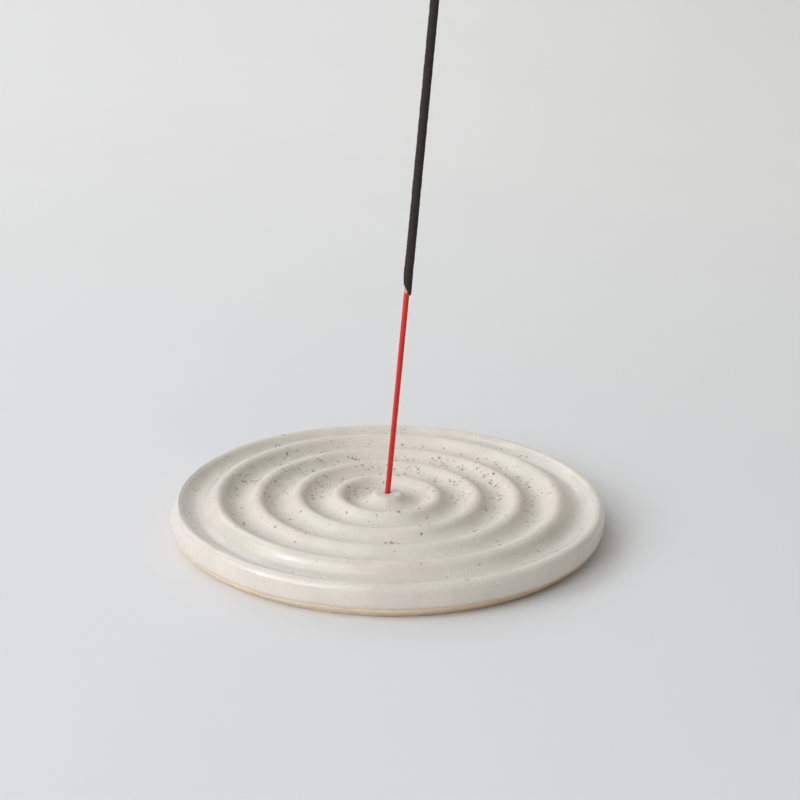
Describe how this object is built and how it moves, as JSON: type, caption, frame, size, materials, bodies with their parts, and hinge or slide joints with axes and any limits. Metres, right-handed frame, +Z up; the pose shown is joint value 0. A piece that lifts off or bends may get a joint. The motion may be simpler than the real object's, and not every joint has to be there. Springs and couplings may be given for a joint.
{
  "type": "incense stick holder",
  "caption": "Round, flat stoneware dish with concentric ring ridges under a speckled glaze, and a central boss whose slanted hole holds an incense stick.",
  "frame": {"origin": "middle of the foot, on the surface that the dish stands on", "axes": "+Z up, +X the way the stick leans, +Y away from the viewer of the picture"},
  "size_m": [0.12, 0.12, 0.2321],
  "materials": {
    "bare_clay": "unglazed buff stoneware, dry and slightly sandy",
    "speckled_glaze": "satin off-white glaze with iron specks, warmer where it breaks on the crests",
    "dyed_bamboo": "split bamboo dyed red, matte, with fine lengthwise grain",
    "incense_paste": "dark, dry, powdery incense paste with a slightly uneven surface"
  },
  "bodies": {
    "dish": {"stoneware_body": "bare_clay", "glaze_coat": "speckled_glaze"},
    "stick": {"bamboo_core": "dyed_bamboo", "incense_paste": "incense_paste"}
  },
  "joints": [
    {"name": "stick_lift", "type": "slide", "parent": "dish", "child": "stick", "axis": [0.075, 0, 0.9972], "range_m": [0, 0.03]}
  ]
}
